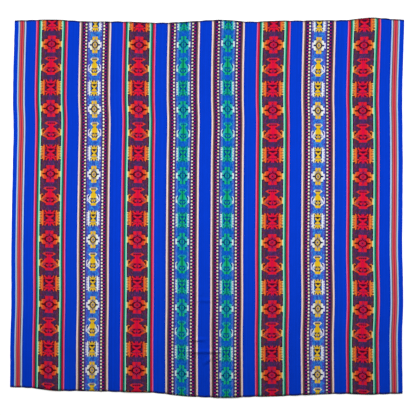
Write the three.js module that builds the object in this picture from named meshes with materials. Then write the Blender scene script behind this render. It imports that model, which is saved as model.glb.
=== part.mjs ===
// Woven blanket, laid out flat: one width of warp-faced striped cloth in one piece.
// The stripes run along Y, the selvedges are at -X and +X, the two finished ends at -Y and +Y.
// Units are millimetres, +Z is up, and the cloth lies on Z = 0.
import * as THREE from 'three';
import { mergeVertices } from 'three/addons/utils/BufferGeometryUtils.js';

// Driving dimensions of the planned, perfectly straight cloth.
const clothWidth = 1200; // selvedge to selvedge, across the stripes
const clothLength = 1147; // end to end, along the stripes
const clothThickness = 2.2;
const cellsAcross = 40;
const cellsAlong = 38;

// How the real cloth strays from the planned rectangle, by place across it.
// top and bottom: how far each end reaches past its planned line, up the cloth being positive.
// shift: how far the warp lies to the right of its planned place.
const strayAcross = [
  { across: -600, top: -0.5, bottom: 22, shift: 0 },
  { across: -530, top: 2, bottom: 18.5, shift: -3 },
  { across: -455, top: 2, bottom: 11, shift: -5 },
  { across: -355, top: -3.5, bottom: 9.5, shift: -7.5 },
  { across: -260, top: -3, bottom: 7, shift: -9 },
  { across: -160, top: -7.5, bottom: 4.5, shift: -8.5 },
  { across: -60, top: -4, bottom: -6, shift: -8.5 },
  { across: 35, top: 2, bottom: -10.5, shift: -8.5 },
  { across: 135, top: -3.5, bottom: -8.5, shift: -7.5 },
  { across: 235, top: -0.5, bottom: -6, shift: -5 },
  { across: 330, top: 0, bottom: -1, shift: -3.5 },
  { across: 430, top: 2, bottom: 0.5, shift: -2 },
  { across: 505, top: 8, bottom: -1.5, shift: -2 },
  { across: 600, top: 2, bottom: 2, shift: -0.5 },
];

// How far the left selvedge, the middle and the right selvedge lean to the right, by place along the cloth.
const strayAlong = [
  { along: -575, left: -8, middle: -2.5, right: -0.5 },
  { along: -550, left: -7, middle: -2.5, right: -0.5 },
  { along: -400, left: -5.5, middle: -3, right: -2 },
  { along: -290, left: -3, middle: -2, right: 1.5 },
  { along: -145, left: -3, middle: -1.5, right: -1.5 },
  { along: 5, left: -1, middle: -0.5, right: -0.5 },
  { along: 150, left: 2, middle: 0.5, right: 0 },
  { along: 265, left: 4, middle: 2.5, right: -1 },
  { along: 335, left: 2, middle: 1, right: -2 },
  { along: 445, left: 4, middle: 1.5, right: 1 },
  { along: 555, left: 7, middle: 4, right: 4.5 },
];

// The soft ripples where the cloth stands off the surface. Each is a low ridge: its middle, the way its
// crest runs in degrees from the X axis, its half length and half breadth, and its height.
const ripples = [
  { name: 'long ridge, upper right', across: 190, along: 130, turn: 4, reach: 290, breadth: 65, rise: 3 },
  { name: 'short ridge, upper right', across: 410, along: 290, turn: -6, reach: 110, breadth: 50, rise: 2 },
  { name: 'pucker, lower middle', across: -70, along: -266, turn: 0, reach: 130, breadth: 40, rise: 1.6 },
  { name: 'pucker near the lower end', across: 0, along: -440, turn: 3, reach: 150, breadth: 45, rise: 2.2 },
  { name: 'flare, lower end, far left', across: -470, along: -565, turn: 88, reach: 110, breadth: 65, rise: 3 },
  { name: 'flare, lower end, left', across: -230, along: -570, turn: 92, reach: 130, breadth: 70, rise: 4 },
  { name: 'flare, lower end, middle', across: 70, along: -585, turn: 86, reach: 170, breadth: 75, rise: 5 },
  { name: 'flare, lower end, right', across: 300, along: -578, turn: 95, reach: 130, breadth: 65, rise: 4 },
  { name: 'flare, upper end, left', across: -165, along: 568, turn: 90, reach: 100, breadth: 70, rise: 3 },
  { name: 'flare, upper end, right', across: 490, along: 582, turn: 84, reach: 110, breadth: 75, rise: 3.5 },
  { name: 'wave, left selvedge, upper', across: -600, along: 290, turn: 0, reach: 100, breadth: 60, rise: 3 },
  { name: 'wave, left selvedge, lower', across: -605, along: -440, turn: 5, reach: 90, breadth: 60, rise: 2.5 },
  { name: 'wave, right selvedge, upper', across: 600, along: 345, turn: -5, reach: 90, breadth: 50, rise: 3 },
  { name: 'wave, right selvedge, lower', across: 600, along: -190, turn: 0, reach: 100, breadth: 60, rise: 3 },
];

// A smooth curve through one column of a table, whose rows are in order of the key column.
function curveThrough(table, key, column, at) {
  const last = table.length - 1;
  let i = 0;
  while (i < last - 1 && table[i + 1][key] < at) i += 1;
  const steepness = (row) => {
    const before = table[Math.max(row - 1, 0)];
    const after = table[Math.min(row + 1, last)];
    return (after[column] - before[column]) / (after[key] - before[key]);
  };
  const from = table[i];
  const to = table[i + 1];
  const span = to[key] - from[key];
  const part = THREE.MathUtils.clamp((at - from[key]) / span, 0, 1);
  const rest = 1 - part;
  const ease = part * part * (3 - 2 * part);
  const leave = part * rest * rest * span * steepness(i);
  const arrive = part * part * rest * span * steepness(i + 1);
  return from[column] + (to[column] - from[column]) * ease + leave - arrive;
}

// Where a point of the planned cloth really lies, seen from above.
function placeOnSurface(across, along) {
  const halfLength = clothLength / 2;
  const upTheCloth = (along + halfLength) / clothLength;
  const top = halfLength + curveThrough(strayAcross, 'across', 'top', across);
  const bottom = -halfLength + curveThrough(strayAcross, 'across', 'bottom', across);
  const y = THREE.MathUtils.lerp(bottom, top, upTheCloth);
  const side = across / (clothWidth / 2);
  const middle = curveThrough(strayAlong, 'along', 'middle', y);
  const edge = curveThrough(strayAlong, 'along', side < 0 ? 'left' : 'right', y);
  const shift = curveThrough(strayAcross, 'across', 'shift', across);
  const x = across + shift + THREE.MathUtils.lerp(middle, edge, Math.abs(side));
  return new THREE.Vector2(x, y);
}

// A rounded hump, 1 in the middle and 0 from distance 1 outwards.
function hump(distance) {
  const left = Math.max(0, 1 - distance * distance);
  return left * left;
}

// How far the cloth stands off the surface at a place: nothing wherever no ripple reaches.
function heightOfRipples(place) {
  let height = 0;
  for (const ripple of ripples) {
    const offset = new THREE.Vector2(place.x - ripple.across, place.y - ripple.along);
    offset.rotateAround(new THREE.Vector2(0, 0), -THREE.MathUtils.degToRad(ripple.turn));
    height += ripple.rise * hump(offset.x / ripple.reach) * hump(offset.y / ripple.breadth);
  }
  return height;
}

// The woven length: a thin slab in cells, each point moved to its real place, under and upper face alike.
function makeWovenLength() {
  const slab = new THREE.BoxGeometry(clothWidth, clothLength, clothThickness, cellsAcross, cellsAlong, 1);
  slab.deleteAttribute('normal');
  slab.deleteAttribute('uv');
  const cloth = mergeVertices(slab);
  const points = cloth.attributes.position;
  for (let i = 0; i < points.count; i += 1) {
    const place = placeOnSurface(points.getX(i), points.getY(i));
    const underside = heightOfRipples(place);
    const isUpperFace = points.getZ(i) > 0;
    points.setXYZ(i, place.x, place.y, underside + (isUpperFace ? clothThickness : 0));
  }
  // The origin is the middle of the cloth's box, on the surface.
  cloth.computeBoundingBox();
  const middle = cloth.boundingBox.getCenter(new THREE.Vector3());
  cloth.translate(-middle.x, -middle.y, -cloth.boundingBox.min.z);
  cloth.computeVertexNormals();
  return cloth;
}

const wool = new THREE.MeshStandardMaterial({ color: 0x0a46c4, roughness: 0.92, metalness: 0 });
const blanket = new THREE.Mesh(makeWovenLength(), wool);
blanket.name = 'blanket';

const group = new THREE.Group();
group.add(blanket);

export default group;
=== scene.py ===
"""A striped woven blanket, laid out flat and seen from straight above."""

import math
import random
from collections import namedtuple

import bmesh
import bpy
from mathutils import Matrix, Vector, noise


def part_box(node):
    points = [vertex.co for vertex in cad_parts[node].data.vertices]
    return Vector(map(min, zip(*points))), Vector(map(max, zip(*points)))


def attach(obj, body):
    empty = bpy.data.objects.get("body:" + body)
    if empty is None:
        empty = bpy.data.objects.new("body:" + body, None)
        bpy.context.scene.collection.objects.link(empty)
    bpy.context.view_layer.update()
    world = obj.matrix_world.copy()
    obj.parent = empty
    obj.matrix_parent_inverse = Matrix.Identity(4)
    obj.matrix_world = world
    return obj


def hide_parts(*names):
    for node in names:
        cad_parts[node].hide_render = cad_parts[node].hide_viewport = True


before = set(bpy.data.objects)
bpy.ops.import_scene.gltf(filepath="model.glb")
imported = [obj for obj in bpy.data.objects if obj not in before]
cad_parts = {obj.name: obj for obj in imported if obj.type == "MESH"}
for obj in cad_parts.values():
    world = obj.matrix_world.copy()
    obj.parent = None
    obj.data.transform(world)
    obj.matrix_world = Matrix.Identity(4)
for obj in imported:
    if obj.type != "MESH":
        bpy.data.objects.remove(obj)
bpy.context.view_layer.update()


# The camera hangs straight above the cloth, as in the photo, with the end that is at the top of the photo
# towards +Y. The picture is square, and one of its 416 pixels covers 3.073 mm of the cloth.
picture_width = 416 * 0.003073
camera_height = 3.0
sensor_millimetres = 36
camera_aim_x = 0.0026
camera_aim_y = -0.0007

camera_data = bpy.data.cameras.new("overhead camera")
camera_data.sensor_width = sensor_millimetres
camera_data.lens = sensor_millimetres * camera_height / picture_width
camera_data.clip_end = 50
camera = bpy.data.objects.new("overhead_camera", camera_data)
camera.location = (camera_aim_x, camera_aim_y, camera_height)
bpy.context.collection.objects.link(camera)
bpy.context.scene.camera = camera


# The floor is a plain white surface, lit a little from below so that it stays white right up to the cloth.
# Two long soft lamps over the upper half of the cloth give the light, which falls off towards the lower end.
floor_side = 14.0
floor_glow = 0.55
lamp_rows = (
    # place along the cloth, height, length, breadth, power
    (1.30, 1.00, 3.6, 0.4, 20.0),
    (0.00, 1.00, 3.6, 0.4, 17.2),
)
room_light = 0.10

floor_mesh = bpy.data.meshes.new("floor")
floor_form = bmesh.new()
bmesh.ops.create_grid(floor_form, x_segments=1, y_segments=1, size=floor_side / 2)
floor_form.to_mesh(floor_mesh)
floor_form.free()
floor = bpy.data.objects.new("floor", floor_mesh)
bpy.context.collection.objects.link(floor)

white_floor = bpy.data.materials.new("plain white floor")
white_floor.use_nodes = True
floor_shader = white_floor.node_tree.nodes["Principled BSDF"]
floor_shader.inputs["Base Color"].default_value = (0.9, 0.9, 0.9, 1)
floor_shader.inputs["Roughness"].default_value = 0.9
floor_shader.inputs["Specular IOR Level"].default_value = 0.1
floor_shader.inputs["Emission Color"].default_value = (1, 1, 1, 1)
floor_shader.inputs["Emission Strength"].default_value = floor_glow
floor_mesh.materials.append(white_floor)

for number, (lamp_y, lamp_z, lamp_length, lamp_breadth, lamp_power) in enumerate(lamp_rows):
    lamp_data = bpy.data.lights.new(f"soft lamp {number}", "AREA")
    lamp_data.shape = "RECTANGLE"
    lamp_data.size = lamp_length
    lamp_data.size_y = lamp_breadth
    lamp_data.energy = lamp_power
    lamp = bpy.data.objects.new(f"soft_lamp_{number}", lamp_data)
    lamp.location = (0, lamp_y, lamp_z)
    lamp.visible_camera = False
    bpy.context.collection.objects.link(lamp)

room = bpy.data.worlds.new("white room")
room.use_nodes = True
room.node_tree.nodes["Background"].inputs["Color"].default_value = (1, 1, 1, 1)
room.node_tree.nodes["Background"].inputs["Strength"].default_value = room_light
bpy.context.scene.world = room
bpy.context.scene.view_settings.view_transform = "Standard"


# The woven length, part one: how the cloth lies. It is one width of warp-faced cloth, off the loom in one
# piece. Its plan is a true rectangle, and these tables say how the real one strays from it and where it
# stands off the surface in soft ripples. They are the solid's own, in metres.
cloth_width = 1.200
cloth_length = 1.147
cloth_thickness = 0.0022

StrayAcross = namedtuple("StrayAcross", "across top bottom shift")
stray_across = [
    StrayAcross(-0.600, -0.0005, 0.0220, 0.0000),
    StrayAcross(-0.530, 0.0020, 0.0185, -0.0030),
    StrayAcross(-0.455, 0.0020, 0.0110, -0.0050),
    StrayAcross(-0.355, -0.0035, 0.0095, -0.0075),
    StrayAcross(-0.260, -0.0030, 0.0070, -0.0090),
    StrayAcross(-0.160, -0.0075, 0.0045, -0.0085),
    StrayAcross(-0.060, -0.0040, -0.0060, -0.0085),
    StrayAcross(0.035, 0.0020, -0.0105, -0.0085),
    StrayAcross(0.135, -0.0035, -0.0085, -0.0075),
    StrayAcross(0.235, -0.0005, -0.0060, -0.0050),
    StrayAcross(0.330, 0.0000, -0.0010, -0.0035),
    StrayAcross(0.430, 0.0020, 0.0005, -0.0020),
    StrayAcross(0.505, 0.0080, -0.0015, -0.0020),
    StrayAcross(0.600, 0.0020, 0.0020, -0.0005),
]

StrayAlong = namedtuple("StrayAlong", "along left middle right")
stray_along = [
    StrayAlong(-0.575, -0.0080, -0.0025, -0.0005),
    StrayAlong(-0.550, -0.0070, -0.0025, -0.0005),
    StrayAlong(-0.400, -0.0055, -0.0030, -0.0020),
    StrayAlong(-0.290, -0.0030, -0.0020, 0.0015),
    StrayAlong(-0.145, -0.0030, -0.0015, -0.0015),
    StrayAlong(0.005, -0.0010, -0.0005, -0.0005),
    StrayAlong(0.150, 0.0020, 0.0005, 0.0000),
    StrayAlong(0.265, 0.0040, 0.0025, -0.0010),
    StrayAlong(0.335, 0.0020, 0.0010, -0.0020),
    StrayAlong(0.445, 0.0040, 0.0015, 0.0010),
    StrayAlong(0.555, 0.0070, 0.0040, 0.0045),
]

Ripple = namedtuple("Ripple", "across along turn reach breadth rise")
ripples = [
    Ripple(0.190, 0.130, 4, 0.290, 0.065, 0.0030),
    Ripple(0.410, 0.290, -6, 0.110, 0.050, 0.0020),
    Ripple(-0.070, -0.266, 0, 0.130, 0.040, 0.0016),
    Ripple(0.000, -0.440, 3, 0.150, 0.045, 0.0022),
    Ripple(-0.470, -0.565, 88, 0.110, 0.065, 0.0030),
    Ripple(-0.230, -0.570, 92, 0.130, 0.070, 0.0040),
    Ripple(0.070, -0.585, 86, 0.170, 0.075, 0.0050),
    Ripple(0.300, -0.578, 95, 0.130, 0.065, 0.0040),
    Ripple(-0.165, 0.568, 90, 0.100, 0.070, 0.0030),
    Ripple(0.490, 0.582, 84, 0.110, 0.075, 0.0035),
    Ripple(-0.600, 0.290, 0, 0.100, 0.060, 0.0030),
    Ripple(-0.605, -0.440, 5, 0.090, 0.060, 0.0025),
    Ripple(0.600, 0.345, -5, 0.090, 0.050, 0.0030),
    Ripple(0.600, -0.190, 0, 0.100, 0.060, 0.0030),
]

# Small creases and puckers, too fine for the solid: the same kind of low ridge, or a trough where the rise
# is less than nothing.
creases = [
    Ripple(-0.010, -0.286, 0, 0.034, 0.009, 0.0036),
    Ripple(-0.032, -0.4062, 0, 0.040, 0.0080, 0.0062),
    Ripple(-0.036, -0.4424, 0, 0.048, 0.0080, 0.0072),
    Ripple(0.019, -0.4424, 0, 0.036, 0.0080, 0.0072),
    Ripple(0.000, -0.4705, 43, 0.026, 0.009, 0.0046),
    Ripple(-0.070, -0.262, 1, 0.110, 0.012, 0.0009),
    Ripple(0.060, 0.155, 3, 0.160, 0.016, 0.0010),
    Ripple(0.330, 0.118, 5, 0.120, 0.014, 0.0008),
    Ripple(0.420, 0.300, -7, 0.090, 0.014, 0.0009),
    Ripple(-0.440, -0.432, -4, 0.080, 0.014, 0.0010),
    Ripple(-0.345, -0.447, 6, 0.060, 0.012, 0.0008),
    Ripple(0.520, -0.440, -3, 0.080, 0.014, 0.0009),
    Ripple(-0.520, 0.170, 8, 0.070, 0.014, 0.0007),
    Ripple(-0.215, 0.350, -5, 0.080, 0.014, 0.0007),
    Ripple(0.240, -0.120, 7, 0.090, 0.014, -0.0004),
]


def curve_through(table, key, column, at):
    """A smooth curve through one column of a table, whose rows are in order of the key column."""
    last = len(table) - 1
    i = 0
    while i < last - 1 and getattr(table[i + 1], key) < at:
        i += 1

    def steepness(row):
        before = table[max(row - 1, 0)]
        after = table[min(row + 1, last)]
        rise = getattr(after, column) - getattr(before, column)
        return rise / (getattr(after, key) - getattr(before, key))

    start = getattr(table[i], column)
    end = getattr(table[i + 1], column)
    span = getattr(table[i + 1], key) - getattr(table[i], key)
    part = min(max((at - getattr(table[i], key)) / span, 0), 1)
    rest = 1 - part
    ease = part * part * (3 - 2 * part)
    leave = part * rest * rest * span * steepness(i)
    arrive = part * part * rest * span * steepness(i + 1)
    return start + (end - start) * ease + leave - arrive


def blend(share, start, end):
    """A number that goes from start to end as the share goes from 0 to 1."""
    return start + (end - start) * share


def place_on_surface(across, along):
    """Where a point of the planned cloth really lies, seen from above."""
    half_length = cloth_length / 2
    up_the_cloth = (along + half_length) / cloth_length
    top = half_length + curve_through(stray_across, "across", "top", across)
    bottom = -half_length + curve_through(stray_across, "across", "bottom", across)
    y = blend(up_the_cloth, bottom, top)
    side = across / (cloth_width / 2)
    middle = curve_through(stray_along, "along", "middle", y)
    edge = curve_through(stray_along, "along", "left" if side < 0 else "right", y)
    shift = curve_through(stray_across, "across", "shift", across)
    return Vector((across + shift + blend(abs(side), middle, edge), y))


def hump(distance):
    """A rounded hump, 1 in the middle and 0 from distance 1 outwards."""
    return max(0, 1 - distance * distance) ** 2


def height_of(ridges, place):
    """How far a list of low ridges lifts the cloth at a place."""
    height = 0
    for ridge in ridges:
        offset = place - Vector((ridge.across, ridge.along))
        if offset.length > ridge.reach + ridge.breadth:
            continue
        offset.rotate(Matrix.Rotation(-math.radians(ridge.turn), 2))
        height += ridge.rise * hump(offset.x / ridge.reach) * hump(offset.y / ridge.breadth)
    return height


# The woven length, part two: the warping plan. The warp is laid out in stripes, in the same order from
# either selvedge to the middle. Widths are in metres, from the middle of the cloth outwards.
blue_stripe = 0.0372
red_band = 0.1003
white_band = 0.0993
outer_blue_stripe = 0.0325
selvedge_band = 0.0381

half_plan = (
    blue_stripe / 2,
    white_band,
    blue_stripe,
    red_band,
    blue_stripe,
    white_band,
    blue_stripe,
    red_band,
    outer_blue_stripe,
    selvedge_band,
)
stripe_edges = [sum(half_plan[: count + 1]) for count in range(len(half_plan))]
turquoise_centre, red_inner_centre, white_centre, red_outer_centre = (
    (stripe_edges[i] + stripe_edges[i + 1]) / 2 for i in (0, 2, 4, 6)
)

# The patterned bands are thicker than the plain blue, and the ends draw in a little beside each band.
band_relief = 0.0004
relief_slope = 0.004
end_draw_in = 0.0010
draw_in_breadth = 0.009
selvedge_waver = 0.0005


def relief_at(across):
    """How far the upper face stands up over the plain blue: the patterned bands are the thicker cloth."""
    out = abs(across)
    share = 0
    for number, inner in enumerate(stripe_edges[:-1]):
        if number % 2 == 0:
            outer = stripe_edges[number + 1]
            share += hump(max(0, relief_slope - min(out - inner, outer - out)) / relief_slope)
    return band_relief * min(share, 1)


def waver(across, along):
    """The small unevenness of the outline: dips at the ends beside each band, and a selvedge not quite true."""
    nearest = min(abs(abs(across) - edge) for edge in stripe_edges[:-1])
    dip = end_draw_in * math.exp(-((nearest / draw_in_breadth) ** 2))
    end_share = abs(along / (cloth_length / 2)) ** 12
    side_share = abs(across / (cloth_width / 2)) ** 40
    step = noise.noise(Vector((along * 45, across, 0))) * selvedge_waver
    return Vector((step * side_share, -math.copysign(dip * end_share, along)))


def lie(across, along, up):
    """Where a point lies that is at that height over the planned cloth's underside."""
    place = place_on_surface(across, along) + waver(across, along)
    lift = height_of(ripples, place) + max(height_of(creases, place), -0.0003)
    share_up = min(max(up / cloth_thickness, 0), 1)
    return Vector((place.x, place.y, lift + up + share_up * relief_at(across)))


# The cloth is made flat, as planned, in cells of about 6 mm, with rounded edges. Each corner is marked with
# its place in the plan, and only then is the cloth laid out. The ends are pressed thin by their stitches.
cells_across = 196
cells_along = 188
edge_round = 0.0008
end_press = 0.4
end_press_reach = 0.006

# The cells are halved round the tucks at the lower middle, which are narrower than other creases.
tucks_left = -0.075
tucks_right = 0.065
tucks_low = -0.500
tucks_high = -0.265

# The baked picture has the face below, the reverse above, and the four rounded edges as strips between them.
face_share = 0.80
reverse_start = 0.85
strip_start = 0.803
strip_pitch = 0.0115
strip_height = 0.008
flat_face = 0.99

cloth_form = bmesh.new()
bmesh.ops.create_grid(cloth_form, x_segments=cells_across, y_segments=cells_along, size=0.5)
bmesh.ops.scale(cloth_form, verts=cloth_form.verts[:], vec=(cloth_width, cloth_length, 1))
bmesh.ops.translate(cloth_form, verts=cloth_form.verts[:], vec=(0, 0, cloth_thickness))
tuck_edges = []
for edge in cloth_form.edges:
    is_beside_tucks = True
    for vert in edge.verts:
        if not (tucks_left < vert.co.x < tucks_right and tucks_low < vert.co.y < tucks_high):
            is_beside_tucks = False
    if is_beside_tucks:
        tuck_edges.append(edge)
bmesh.ops.subdivide_edges(cloth_form, edges=tuck_edges, cuts=1, use_grid_fill=True)
bmesh.ops.solidify(cloth_form, geom=cloth_form.faces[:], thickness=cloth_thickness)
cloth_form.normal_update()
rim_edges = []
for edge in cloth_form.edges:
    first, second = edge.verts
    is_level = abs(first.co.z - second.co.z) < 1e-6
    if is_level and edge.calc_face_angle(0) > 1:
        rim_edges.append(edge)
bmesh.ops.bevel(
    cloth_form,
    geom=rim_edges,
    offset=edge_round,
    segments=2,
    profile=0.5,
    affect="EDGES",
    material=-1,
)
cloth_form.normal_update()

plan_map = cloth_form.loops.layers.uv.new("place in the plan")
bake_map = cloth_form.loops.layers.uv.new("OFBake")
lowest_z = min(vert.co.z for vert in cloth_form.verts)
for face in cloth_form.faces:
    facing = face.normal
    is_reverse = facing.z < -0.5
    is_end = abs(facing.y) > abs(facing.x)
    strip = 2 * is_end + (facing.y + facing.x > 0)
    face.smooth = True
    face.material_index = 1 if is_reverse else 0
    for loop in face.loops:
        spot = loop.vert.co
        loop[plan_map].uv = (spot.x, spot.y)
        share_across = spot.x / cloth_width + 0.5
        share_along = spot.y / cloth_length + 0.5
        share_up = (spot.z - lowest_z) / cloth_thickness
        if abs(facing.z) < flat_face:
            u = share_across if is_end else share_along
            v = strip_start + strip * strip_pitch + share_up * strip_height
        else:
            u = share_across
            v = blend(share_along, reverse_start, 1) if is_reverse else share_along * face_share
        loop[bake_map].uv = (u, v)

for vert in cloth_form.verts:
    from_end = cloth_length / 2 - abs(vert.co.y)
    press = end_press * max(0, 1 - from_end / end_press_reach)
    up = blend(press, vert.co.z - lowest_z, cloth_thickness / 2)
    vert.co = lie(vert.co.x, vert.co.y, up)

# The plan's middle comes to the middle of the solid's box, with the underside on the surface.
solid_low, solid_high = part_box("blanket")
solid_middle = (solid_low + solid_high) / 2
lows = Vector(min(vert.co[axis] for vert in cloth_form.verts) for axis in range(3))
highs = Vector(max(vert.co[axis] for vert in cloth_form.verts) for axis in range(3))
to_frame = Vector(
    (
        solid_middle.x - (lows.x + highs.x) / 2,
        solid_middle.y - (lows.y + highs.y) / 2,
        solid_low.z - lows.z,
    )
)
bmesh.ops.translate(cloth_form, verts=cloth_form.verts[:], vec=to_frame)

cloth_mesh = bpy.data.meshes.new("woven_length")
cloth_form.to_mesh(cloth_mesh)
cloth_form.free()
cloth = bpy.data.objects.new("woven_length", cloth_mesh)
bpy.context.collection.objects.link(cloth)
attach(cloth, "root")
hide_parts("blanket")


# The woven length, part three: the yarns and the pattern. The plain stripes show one colour of warp. In the
# bands, pairs of warp threads change places between the face and the reverse, pick by pick, and so draw the
# figures, which come out in each other's colours on the reverse.
class Strand:
    """A value on its way through a material. Sums on it add the Math nodes that they need."""

    def __init__(self, tree, socket=None):
        self.tree = tree
        self.socket = socket

    def node(self, kind, settings=None, inputs=None, output=0):
        """Adds a node of a kind, with its settings set first, then the values or links of its sockets."""
        made = self.tree.nodes.new(kind)
        for name, setting in (settings or {}).items():
            if name == "stops":
                ramp = made.color_ramp
                while len(ramp.elements) < len(setting):
                    ramp.elements.new(1)
                for element, (position, colour) in zip(ramp.elements, setting):
                    element.position = position
                    element.color = colour
            elif name == "interpolation":
                made.color_ramp.interpolation = setting
            else:
                setattr(made, name, setting)
        for name, value in (inputs or {}).items():
            if isinstance(value, Strand):
                self.tree.links.new(value.socket, made.inputs[name])
            else:
                made.inputs[name].default_value = value
        return Strand(self.tree, made.outputs[output])

    def maths(self, operation, *values):
        return self.node("ShaderNodeMath", {"operation": operation}, dict(enumerate(values)))

    def __add__(self, other):
        return self.maths("ADD", self, other)

    __radd__ = __add__

    def __sub__(self, other):
        return self.maths("SUBTRACT", self, other)

    def __rsub__(self, other):
        return self.maths("SUBTRACT", other, self)

    def __mul__(self, other):
        return self.maths("MULTIPLY", self, other)

    __rmul__ = __mul__

    def __truediv__(self, other):
        return self.maths("DIVIDE", self, other)

    def __pow__(self, other):
        return self.maths("POWER", self, other)

    def __rpow__(self, other):
        return self.maths("POWER", other, self)

    def __mod__(self, other):
        return self.maths("FLOORED_MODULO", self, other)

    def __lt__(self, other):
        return self.maths("LESS_THAN", self, other)

    def __gt__(self, other):
        return self.maths("GREATER_THAN", self, other)

    def __abs__(self):
        return self.maths("ABSOLUTE", self)

    def __floor__(self):
        return self.maths("FLOOR", self)

    def least(self, other):
        return self.maths("MINIMUM", self, other)

    def most(self, other):
        return self.maths("MAXIMUM", self, other)

    def choose(self, off, on):
        """One colour where this mask is 0, the other where it is 1."""
        return self.node("ShaderNodeMix", {"data_type": "RGBA"}, {0: self, 6: off, 7: on}, 2)

    def times(self, shade):
        """This colour made lighter or darker by a number."""
        return self.node("ShaderNodeVectorMath", {"operation": "SCALE"}, {0: self, "Scale": shade})

    def ramp(self, stops, kind="CONSTANT", output=0):
        """A ramp of colours along this value, which goes from 0 to 1."""
        settings = {"interpolation": kind, "stops": stops}
        return self.node("ShaderNodeValToRGB", settings, {0: self}, output)

    def red(self):
        """How much red a colour has."""
        return self.node("ShaderNodeSeparateColor", None, {0: self}, "Red")

    def cell(self, *places):
        """A different chance, from 0 to 1, for each set of whole numbers."""
        spot = self.node("ShaderNodeCombineXYZ", None, dict(enumerate(places)))
        return self.node("ShaderNodeTexWhiteNoise", {"noise_dimensions": "3D"}, {"Vector": spot}, "Value")

    def cloud(self, scale_across, scale_along, across, along, detail=2.0):
        """Soft unevenness from -1 to 1, of its own scale each way, in patches for each metre."""
        spot = self.node("ShaderNodeCombineXYZ", None, {0: across * scale_across, 1: along * scale_along})
        fog = self.node("ShaderNodeTexNoise", None, {"Vector": spot, "Scale": 1.0, "Detail": detail}, 0)
        return (fog - 0.5) * 2


def dye(red, green, blue):
    """A yarn's colour, given from 0 to 255 as a screen shows it, as the shader's own linear colour."""
    parts = (part / 255 for part in (red, green, blue))
    return (*(((part + 0.055) / 1.055) ** 2.4 if part > 0.04 else part / 12.92 for part in parts), 1)


def warp_stops(strips):
    """The stops of a ramp for a run of strips, each with its width and its yarn."""
    whole = sum(width for width, yarn in strips)
    start = 0
    stops = []
    for width, yarn in strips:
        stops.append((start / whole, yarn))
        start += width
    return stops


def chart_stops(rows):
    """The stops of a ramp for a chart, with two numbers for each row, in which each column has its own power
    of 2: in the alpha the columns with a figure thread on the face, in the red those with a dark thread. A
    row that is like the one before it needs no stop."""
    stops = []
    before = None
    for number, row in enumerate(rows):
        figure = 0
        dark = 0
        for column, mark in enumerate(row):
            turn = (number + column) % 2
            is_gap = (number + 2 * column) % 4 == 0
            if mark == "#" or (mark in "+x" and turn == 0) or (mark == "*" and not is_gap):
                figure += 2**column
            if mark == "o" or (mark == "x" and turn == 1):
                dark += 2**column
        if (figure, dark) != before:
            stops.append((number / len(rows), (dark / chart_scale, 0, 0, figure / chart_scale)))
        before = (figure, dark)
    return stops


# The charts, as a weaver writes them: # is a figure thread on the face, a dot is plain ground, and o is ground
# where the dark thread shows. Some places are mixed: * is figure with a ground thread here and there, + is
# figure and ground by turns, and x is figure and dark by turns. Each row is one pick, and its twelve columns
# go from the middle of the figure to one side, the other side being the same.
chart_columns = 12
chart_scale = 2**chart_columns

# The cross is also the same upwards and downwards: its rows go from its middle out.
cross_chart = (
    "o++#oooooo##",
    "o++#ooooo###",
    "+++#oo*#####",
    "++#ooo*#####",
    "+#ooo*#*####",
    "#ooo+#*#*+++",
    "oo++*#*#*ooo",
    "o+++*#*#*.oo",
    "o+*+#*#*#...",
    "o+*#+*#*+...",
    "++*#*oooo...",
    "+*#*#oo.....",
    "*##*+o......",
    "*##*#.......",
    "#*###.......",
    "*#*##.......",
)
vessel_chart = (
    "+++++.......",
    "+++++++.....",
    "+*+*+##.....",
    "xoxox##+....",
    "xxxx*##.....",
    "#####+......",
    "#####.......",
    "####........",
    "*##o........",
    "*#*o........",
    "*##o........",
    "*##*o.......",
    "#*##+.......",
    "#####+..+#..",
    "######.o+##.",
    "######+ooo#+",
    "#######+oo+#",
    "########oo+#",
    "########oo+#",
    "*########o+#",
    "+xoo*+##+o##",
    "x+ooo+++#o##",
    "x+oo*++++###",
    "x**xo+++++##",
    "x*##o+++++##",
    "x*##oo+++##+",
    "o+*ooo+###o.",
    "o*ooo*###o..",
    "*+oo*###o...",
    "#*#####o....",
    "######o.....",
    "#####o......",
    "#####.......",
    "*****.......",
)
square_rays = (
    ".#o.o#.o#o..",
    "+#+oo#o##o..",
    "##oo##o##oo.",
    "##o##+o##+##",
)
square_middle = (
    "####+oo#####",
    "+####o+##+oo",
    "*#*##+######",
    "ooxo*oo#####",
    "ooooooo##+oo",
    "ooo##oo#####",
    "oo*##+o#####",
    "*####oo##+oo",
    "####oo.#####",
    "##*oo..#####",
    "#*ooo..##+oo",
    "#*ooo..#####",
    "##+oo..#####",
    "*##*oo.##+oo",
    "*###*oo#####",
    "*####oo#####",
    "x+x+*+*##+oo",
    "oxoxo*######",
    "*#####+#####",
    "+####o+##+oo",
    "####+oo#####",
)
square_chart = square_rays + square_middle + square_rays[::-1]

# The figures follow each other down the cloth in the same order in every band, and all bands are woven with
# the same picks, which bow a little: they lie further down at the selvedges than in the middle. The cloth is
# beaten closer at the upper end.
cross_rows = 2 * len(cross_chart) - 1
gap_rows = (8, 9, 9)
vessel_start = cross_rows + gap_rows[0]
square_start = vessel_start + len(vessel_chart) + gap_rows[1]
repeat_rows = square_start + len(square_chart) + gap_rows[2]
repeat_length = 0.20255
pick = repeat_length / repeat_rows
first_cross = 0.0658
pick_bow = 0.0137
pick_lean = 0.0043
close_beat = 0.0040
close_beat_reach = 0.150

red_column = 0.0028
white_column = 0.0018
plain_rib = 0.0014
ribs_a_column = 2

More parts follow.
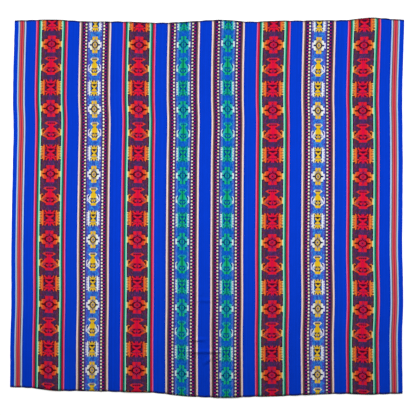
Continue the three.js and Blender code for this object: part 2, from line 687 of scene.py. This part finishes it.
# The yarns.
royal_blue = dye(0, 61, 213)
black_yarn = dye(26, 18, 30)
bottle = dye(5, 62, 68)
green = dye(22, 145, 122)
mint = dye(160, 240, 207)
crimson = dye(205, 5, 62)
pink = dye(238, 105, 160)
pale_blue = dye(185, 215, 245)
olive = dye(120, 105, 100)
dark_brown = dye(120, 90, 85)
orange_red = dye(225, 85, 88)
magenta = dye(180, 18, 82)
check_magenta = dye(180, 20, 115)
cream = dye(250, 226, 215)
brown = dye(125, 85, 75)
dark_purple = dye(60, 33, 80)
indigo = dye(62, 48, 140)
violet = dye(72, 52, 138)
pale_violet = dye(80, 75, 165)
white_yarn = dye(255, 246, 224)
pale_yellow = dye(245, 231, 180)
navy = dye(25, 24, 92)
dot_ground = dye(38, 20, 58)
dot_green = dye(20, 50, 50)

red_band_sides = (
    (0.0034, mint),
    (0.0036, green),
    (0.0033, bottle),
    (0.0043, crimson),
    (0.00335, pink),
)
white_band_sides = (
    (0.0012, indigo),
    (0.0018, violet),
    (0.0010, pale_violet),
    (0.0030, dot_green),
    (0.0037, dot_ground),
    (0.0058, navy),
    (0.0037, dark_purple),
    (0.0038, brown),
    (0.00495, cream),
)
selvedge_strips = (
    (0.0043, pale_blue),
    (0.0032, dark_brown),
    (0.0036, orange_red),
    (0.0032, magenta),
    (0.0038, orange_red),
    (0.0024, olive),
    (0.0038, pale_blue),
    (0.0138, royal_blue),
)

# The warp of each kind of field, as numbers of columns from the middle out and their yarn. The ground has
# flecks of a second lot of yarns, and a dark yarn shows beside the figures.
Field = namedtuple("Field", "figure ground flecks dark")
red_warp = Field(
    figure=((2, dye(226, 12, 66)), (3, dye(230, 28, 50)), (3, dye(232, 64, 44)), (3, dye(238, 126, 52)), (1, dye(245, 222, 135))),
    ground=((4, dye(76, 42, 98)), (4, dye(72, 42, 78)), (3, dye(98, 50, 68)), (1, black_yarn)),
    flecks=((2, dye(50, 45, 104)), (2, dye(112, 44, 108)), (1, dye(100, 26, 56)), (1, dye(66, 66, 70))),
    dark=((4, dye(70, 8, 48)), (4, dye(84, 8, 26)), (3, dye(78, 20, 8)), (1, black_yarn)),
)
white_warp = Field(
    figure=((5, dye(245, 200, 32)), (2, dye(245, 240, 195)), (3, dye(238, 248, 255)), (2, dye(228, 220, 252))),
    ground=((4, dye(45, 92, 195)), (4, dye(42, 118, 228)), (1, dye(60, 100, 215)), (3, dye(88, 82, 205))),
    flecks=((1, dye(25, 70, 190)), (2, dye(70, 160, 235)), (1, dye(60, 95, 215))),
    dark=((2, dye(22, 24, 62)), (3, dye(30, 30, 32)), (4, dye(10, 26, 92)), (3, dye(48, 30, 125))),
)
turquoise_warp = Field(
    figure=((2, dye(0, 132, 90)), (3, dye(20, 184, 134)), (4, dye(40, 192, 186)), (3, dye(218, 246, 250))),
    ground=((3, dye(15, 82, 215)), (6, dye(4, 98, 192)), (3, dye(96, 128, 222))),
    flecks=((1, dye(5, 80, 205)), (2, dye(20, 130, 205)), (1, dye(10, 100, 225))),
    dark=((4, dye(0, 78, 150)), (5, dye(0, 50, 120)), (3, dye(50, 60, 130))),
)
dot_yarns = ((2, white_yarn), (1, pale_yellow))

dot_picks = 6
dot_middle = 0.0277
dot_half_width = 0.0029
dot_half_length = 0.0027
check_middle = 0.0340
check_width = 0.0055

# How uneven the yarn is and how much shade is painted into its grooves, as shares of its colour, and how far the
# threads stand up, in metres.
painted_rib_groove_depth = 0.26
painted_pick_groove_depth = 0.14
yarn_shade = 0.09
streak_shade = 0.06
cloud_shade = 0.07
# Painted shade in the blue beside the bands: how much darker it is, and how far from each band's edge it reaches.
painted_band_edge_depth = 0.34
painted_band_edge_reach = 0.0055
fleck_share = 0.36
thread_rise = 0.00030


def weave(name, is_reverse):
    """The cloth's material, as the face or the reverse shows it."""
    material = bpy.data.materials.new(name)
    material.use_nodes = True
    shader = material.node_tree.nodes["Principled BSDF"]
    start = Strand(material.node_tree)
    plan = start.node("ShaderNodeUVMap", {"uv_map": "place in the plan"})
    across = start.node("ShaderNodeSeparateXYZ", None, {0: plan}, "X")
    along = start.node("ShaderNodeSeparateXYZ", None, {0: plan}, "Y")
    out = abs(across)
    side = across > 0

    # How far down the cloth, in picks from the middle of a cross.
    bow = (across / (cloth_width / 2)) ** 2 * pick_bow + across / (cloth_width / 2) * pick_lean
    down = cloth_length / 2 - along - bow
    squeeze = math.e ** ((down / close_beat_reach) ** 2 * -1) * close_beat
    picks = (down - squeeze - first_cross) / pick

    # Places across each kind of band, from its middle.
    is_outer_red = out > white_centre
    red_offset = out - red_inner_centre - is_outer_red * (red_outer_centre - red_inner_centre)
    is_white = out > red_inner_centre
    band_centre = turquoise_centre + is_white * (white_centre - turquoise_centre)
    white_offset = out - band_centre
    in_red = abs(red_offset) < red_band / 2
    in_white = abs(white_offset) < white_band / 2
    in_selvedge = out > stripe_edges[-2]

    # The column of the chart, counted from the middle of the figure, and the row of the repeat.
    column_offset = red_offset / red_column * in_red + white_offset / white_column * (1 - in_red)
    column = math.floor(abs(column_offset) + 0.5)
    in_field = (column < chart_columns - 0.5) * in_red.most(in_white)
    row = math.floor((picks + (cross_rows - 1) / 2) % repeat_rows)

    # The charts: the row picks two numbers from a ramp, and the column picks a binary digit of each.
    cross_place = (abs(row - (cross_rows - 1) / 2) + 0.5) / len(cross_chart)
    vessel_place = (row - vessel_start + 0.5) / len(vessel_chart)
    square_place = (row - square_start + 0.5) / len(square_chart)
    in_cross = row < cross_rows - 0.5
    in_vessel = abs(vessel_place - 0.5) < 0.5
    in_square = abs(square_place - 0.5) < 0.5
    digit_size = 2 ** column.least(chart_columns) / chart_scale
    threads_up = (
        cross_place.ramp(chart_stops(cross_chart), output="Alpha") * in_cross
        + vessel_place.ramp(chart_stops(vessel_chart), output="Alpha") * in_vessel
        + square_place.ramp(chart_stops(square_chart), output="Alpha") * in_square
    )
    threads_dark = (
        cross_place.ramp(chart_stops(cross_chart)).red() * in_cross
        + vessel_place.ramp(chart_stops(vessel_chart)).red() * in_vessel
        + square_place.ramp(chart_stops(square_chart)).red() * in_square
    )
    rounding = 0.001
    figure = math.floor(threads_up / digit_size + rounding) % 2 * in_field
    dark = math.floor(threads_dark / digit_size + rounding) % 2 * in_field
    if is_reverse:
        figure = in_field - figure

    # The ribs: two to a column in the figured fields, plain ones elsewhere, each a row of short floats.
    rib_place = (column_offset * ribs_a_column + 0.5) * in_field + across / plain_rib * (1 - in_field)
    rib = math.floor(rib_place + 0.5)
    rib_part = abs(rib_place - rib) * 2
    float_place = (picks + rib % 2) / 2
    float_part = abs(float_place % 1 - 0.5) * 2
    zone = math.floor(out * 40) + side * 50

    chance = start.cell(math.floor(column_offset + 0.5), math.floor(float_place), zone)
    is_fleck = chance < fleck_share
    column_share = (column + 0.5) / chart_columns

    def field_colour(warp):
        ground = is_fleck.choose(
            column_share.ramp(warp_stops(warp.ground)), (chance / fleck_share).ramp(warp_stops(warp.flecks))
        )
        ground = dark.choose(ground, column_share.ramp(warp_stops(warp.dark)))
        return figure.choose(ground, column_share.ramp(warp_stops(warp.figure)))

    # The strips beside the fields.
    red_side_width = sum(width for width, yarn in red_band_sides)
    white_side_width = sum(width for width, yarn in white_band_sides)
    red_side = (abs(red_offset) - red_band / 2 + red_side_width) / red_side_width
    white_side = (abs(white_offset) - white_band / 2 + white_side_width) / white_side_width
    red_stripes = red_side.ramp(warp_stops(red_band_sides))
    white_stripes = white_side.ramp(warp_stops(white_band_sides))

    # The dots beside the white fields, on the dark, and the checks beyond them, half a step away. In the
    # turquoise bands the two rows of dots are level, in the white ones half a step apart.
    is_high = (white_offset > 0).most(1 - is_white)
    dot_count = (picks + dot_picks / 4 + is_high * (dot_picks / 2)) / dot_picks
    thread_along = (math.floor(dot_count % 1 * dot_picks) + 0.5) / dot_picks
    dot_along = (thread_along - 0.5) * (dot_picks * pick)
    dot_across = abs(abs(rib * plain_rib) - band_centre) - dot_middle
    is_dot = (dot_across / dot_half_width) ** 2 + (dot_along / dot_half_length) ** 2 < 1
    is_check = (abs(abs(white_offset) - check_middle) < check_width / 2) * (abs(dot_along) > dot_picks / 4 * pick)
    dot_chance = start.cell(math.floor(dot_count), zone, 0)
    white_stripes = is_check.choose(white_stripes, check_magenta)
    white_stripes = is_dot.choose(white_stripes, dot_chance.ramp(warp_stops(dot_yarns)))

    selvedge_place = (out - stripe_edges[-2]) / selvedge_band
    colour = in_selvedge.choose(royal_blue, selvedge_place.ramp(warp_stops(selvedge_strips)))
    white_field = is_white.choose(field_colour(turquoise_warp), field_colour(white_warp))
    white_bands = in_field.choose(white_stripes, white_field)
    red_bands = in_field.choose(red_stripes, field_colour(red_warp))
    colour = in_red.choose(in_white.choose(colour, white_bands), red_bands)

    # Painted shade: the blue is darker in its first threads beside each band, where the thicker bands stand up
    # over it.
    nearest_edge = abs(out - stripe_edges[0])
    for edge in stripe_edges[1:-1]:
        nearest_edge = nearest_edge.least(abs(out - edge))
    in_blue = (1 - in_red.most(in_white)) * (1 - in_selvedge)
    painted_band_edge_shade = (1 - nearest_edge / painted_band_edge_reach).most(0) * in_blue * painted_band_edge_depth

    # Painted shade in the grooves between ribs and floats, and the yarn's own unevenness: uneven dyeing from
    # thread to thread and along each thread.
    painted_groove_shade = 1 - rib_part**3 * painted_rib_groove_depth - float_part**3 * painted_pick_groove_depth
    yarn_lot = (start.cell(rib, zone, 1) - 0.5) * (2 * yarn_shade)
    streaks = start.cloud(600, 25, across, along) * streak_shade
    clouds = start.cloud(22, 14, across, along) * cloud_shade
    colour = colour.times(painted_groove_shade * (1.09 + yarn_lot + streaks + clouds - painted_band_edge_shade))

    height = 1 - rib_part**2 * 0.6 - float_part**2 * 0.4 + start.cloud(160, 110, across, along) * 0.7
    bump = start.node("ShaderNodeBump", None, {"Height": height, "Distance": thread_rise}, "Normal")
    roughness = 0.84 + rib_part * 0.1

    links = material.node_tree.links
    links.new(colour.socket, shader.inputs["Base Color"])
    links.new(roughness.socket, shader.inputs["Roughness"])
    links.new(bump.socket, shader.inputs["Normal"])
    shader.inputs["Specular IOR Level"].default_value = 0.08
    return material


cloth_mesh.materials.append(weave("woven cloth, face", False))
cloth_mesh.materials.append(weave("woven cloth, reverse", True))


# The end finish: a close row of overcast stitches in dark spun thread over each cut end, which keeps the
# picks from working off. The thread comes up through the cloth, slants over the end and goes back below it.
def spun(name, colour, shade_range):
    """Spun thread: its fibres make it lighter and darker, and give it a fine bump."""
    material = bpy.data.materials.new(name)
    material.use_nodes = True
    shader = material.node_tree.nodes["Principled BSDF"]
    start = Strand(material.node_tree)
    place = start.node("ShaderNodeTexCoord", None, None, "Object")
    fibres = start.node("ShaderNodeTexNoise", None, {"Vector": place, "Scale": 1500.0, "Detail": 3.0}, 0)
    patches = start.node("ShaderNodeTexNoise", None, {"Vector": place, "Scale": 90.0, "Detail": 1.0}, 0)
    shade = 1 + (fibres + patches - 1) * shade_range
    thread_colour = start.node("ShaderNodeVectorMath", {"operation": "SCALE"}, {0: colour[:3], "Scale": shade})
    bump = start.node("ShaderNodeBump", None, {"Height": fibres, "Distance": 0.0002}, "Normal")
    roughness = 0.8 + fibres * 0.2
    links = material.node_tree.links
    links.new(thread_colour.socket, shader.inputs["Base Color"])
    links.new(roughness.socket, shader.inputs["Roughness"])
    links.new(bump.socket, shader.inputs["Normal"])
    shader.inputs["Specular IOR Level"].default_value = 0.1
    return material


thread_radius = 0.00080
thread_sides = 5
thread_press = 0.66
raised_press = 0.90
turn_steps = 4
turn_half_height = cloth_thickness / 2 + 0.0001
turn_depth = 0.0009
stitch_pitch = 0.0019
stitch_count = int(cloth_width / stitch_pitch)
stitch_slant = 0.35

overcast_thread = spun("overcast thread", dye(26, 22, 44), 0.5)

End = namedtuple("End", "name side bite first_draw")
ends = [
    End("overcast_upper_end", 1, 0.0036, 11),
    End("overcast_lower_end", -1, 0.0050, 12),
]


def tidy_up(form):
    """Turns a closed form's faces outwards and smooths them."""
    bmesh.ops.recalc_face_normals(form, faces=form.faces[:])
    for face in form.faces:
        face.smooth = True


for end in ends:
    # One stitch: a half turn over the end, drawn out above and below the cloth and then let into it.
    stitches = bmesh.new()
    made = bmesh.ops.create_circle(stitches, cap_ends=True, segments=thread_sides, radius=thread_radius)
    bmesh.ops.rotate(stitches, verts=made["verts"], cent=(0, 0, 0), matrix=Matrix.Rotation(math.pi / 2, 3, "X"))
    bmesh.ops.translate(stitches, verts=made["verts"], vec=(0, 0, turn_half_height))
    bmesh.ops.spin(
        stitches,
        geom=stitches.faces[:] + stitches.edges[:] + stitches.verts[:],
        cent=(0, 0, 0),
        axis=(1, 0, 0),
        angle=-math.pi,
        steps=turn_steps,
        dvec=(stitch_pitch * stitch_slant / turn_steps, 0, 0),
    )
    for is_above in (True, False):
        rank = max if is_above else min
        cap = rank(stitches.faces, key=lambda face: face.calc_center_median().z)
        lean = -stitch_pitch * stitch_slant if is_above else stitch_pitch * stitch_slant
        sink = -turn_depth if is_above else turn_depth
        for move in ((lean, -end.bite, 0), (0, -thread_radius, sink)):
            drawn = bmesh.ops.extrude_face_region(stitches, geom=[cap])["geom"]
            bmesh.ops.delete(stitches, geom=[cap], context="FACES_ONLY")
            cap = next(item for item in drawn if isinstance(item, bmesh.types.BMFace))
            bmesh.ops.translate(stitches, verts=cap.verts[:], vec=move)
    points_a_stitch = len(stitches.verts)
    stitch_mesh = bpy.data.meshes.new("one stitch")
    stitches.to_mesh(stitch_mesh)
    for number in range(1, stitch_count):
        stitches.from_mesh(stitch_mesh)
    bpy.data.meshes.remove(stitch_mesh)

    # The row is then laid over the real end, no two stitches quite alike.
    draw = random.Random(end.first_draw)
    first_stitch = -(stitch_count - 1) / 2 * stitch_pitch
    stitches.verts.ensure_lookup_table()
    for number in range(stitch_count):
        reach = draw.uniform(0.82, 1.15)
        stray = draw.uniform(-0.00022, 0.00022)
        for point in stitches.verts[number * points_a_stitch : (number + 1) * points_a_stitch]:
            across = first_stitch + number * stitch_pitch + point.co.x + stray
            beyond = point.co.y * (reach if point.co.y < 0 else thread_press)
            press = raised_press if point.co.z > 0 else thread_press
            up = cloth_thickness / 2 + point.co.z * press
            place = lie(across, end.side * (cloth_length / 2 + beyond), up)
            point.co = place + to_frame
    tidy_up(stitches)

    overcast_mesh = bpy.data.meshes.new(end.name)
    stitches.to_mesh(overcast_mesh)
    stitches.free()
    overcast_mesh.materials.append(overcast_thread)
    overcast = bpy.data.objects.new(end.name, overcast_mesh)
    bpy.context.collection.objects.link(overcast)
    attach(overcast, "root")


# Loose warp ends: a few pale ends of the yarn of the dots, which have worked out past the stitches at the
# lower end. They are cut short and taper where the fibres part.
warp_end_radius = 0.0007
warp_end_steps = 3
EndPlace = namedtuple("EndPlace", "across count length")
warp_end_places = [
    EndPlace(-(white_centre - dot_middle), 5, 0.0034),
    EndPlace(turquoise_centre - dot_middle, 5, 0.0036),
    EndPlace(-(white_centre + dot_middle), 2, 0.0018),
    EndPlace(-(turquoise_centre + dot_middle), 2, 0.0016),
    EndPlace(-(turquoise_centre - dot_middle), 2, 0.0020),
    EndPlace(turquoise_centre + dot_middle, 2, 0.0018),
    EndPlace(white_centre - dot_middle, 3, 0.0020),
    EndPlace(white_centre + dot_middle, 2, 0.0016),
]

draw = random.Random(21)
warp_ends = bmesh.new()
for end_place in warp_end_places:
    for number in range(end_place.count):
        made = bmesh.ops.create_circle(
            warp_ends, cap_ends=True, segments=thread_sides, radius=warp_end_radius
        )["verts"]
        bmesh.ops.rotate(warp_ends, verts=made, cent=(0, 0, 0), matrix=Matrix.Rotation(math.pi / 2, 3, "X"))
        middle = Vector((end_place.across + draw.uniform(-0.0026, 0.0026), 0.0030, cloth_thickness / 2))
        bmesh.ops.translate(warp_ends, verts=made, vec=middle)
        cap = made[0].link_faces[0]
        step = (0.0030 + end_place.length * draw.uniform(0.7, 1.2)) / warp_end_steps
        lean = draw.uniform(-0.0003, 0.0003)
        taper = 0.8
        for count in range(warp_end_steps):
            drawn = bmesh.ops.extrude_face_region(warp_ends, geom=[cap])["geom"]
            cap = next(item for item in drawn if isinstance(item, bmesh.types.BMFace))
            middle = middle + Vector((lean, -step, -0.0002))
            bmesh.ops.translate(warp_ends, verts=cap.verts[:], vec=middle - cap.calc_center_median())
            bmesh.ops.scale(
                warp_ends, verts=cap.verts[:], vec=(taper, 1, taper), space=Matrix.Translation(-middle)
            )
for point in warp_ends.verts:
    point.co = lie(point.co.x, -cloth_length / 2 + point.co.y, point.co.z) + to_frame
tidy_up(warp_ends)

warp_end_mesh = bpy.data.meshes.new("loose_warp_ends")
warp_ends.to_mesh(warp_end_mesh)
warp_ends.free()
warp_end_mesh.materials.append(spun("pale warp yarn", dye(236, 226, 206), 0.25))
loose_ends = bpy.data.objects.new("loose_warp_ends", warp_end_mesh)
bpy.context.collection.objects.link(loose_ends)
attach(loose_ends, "root")
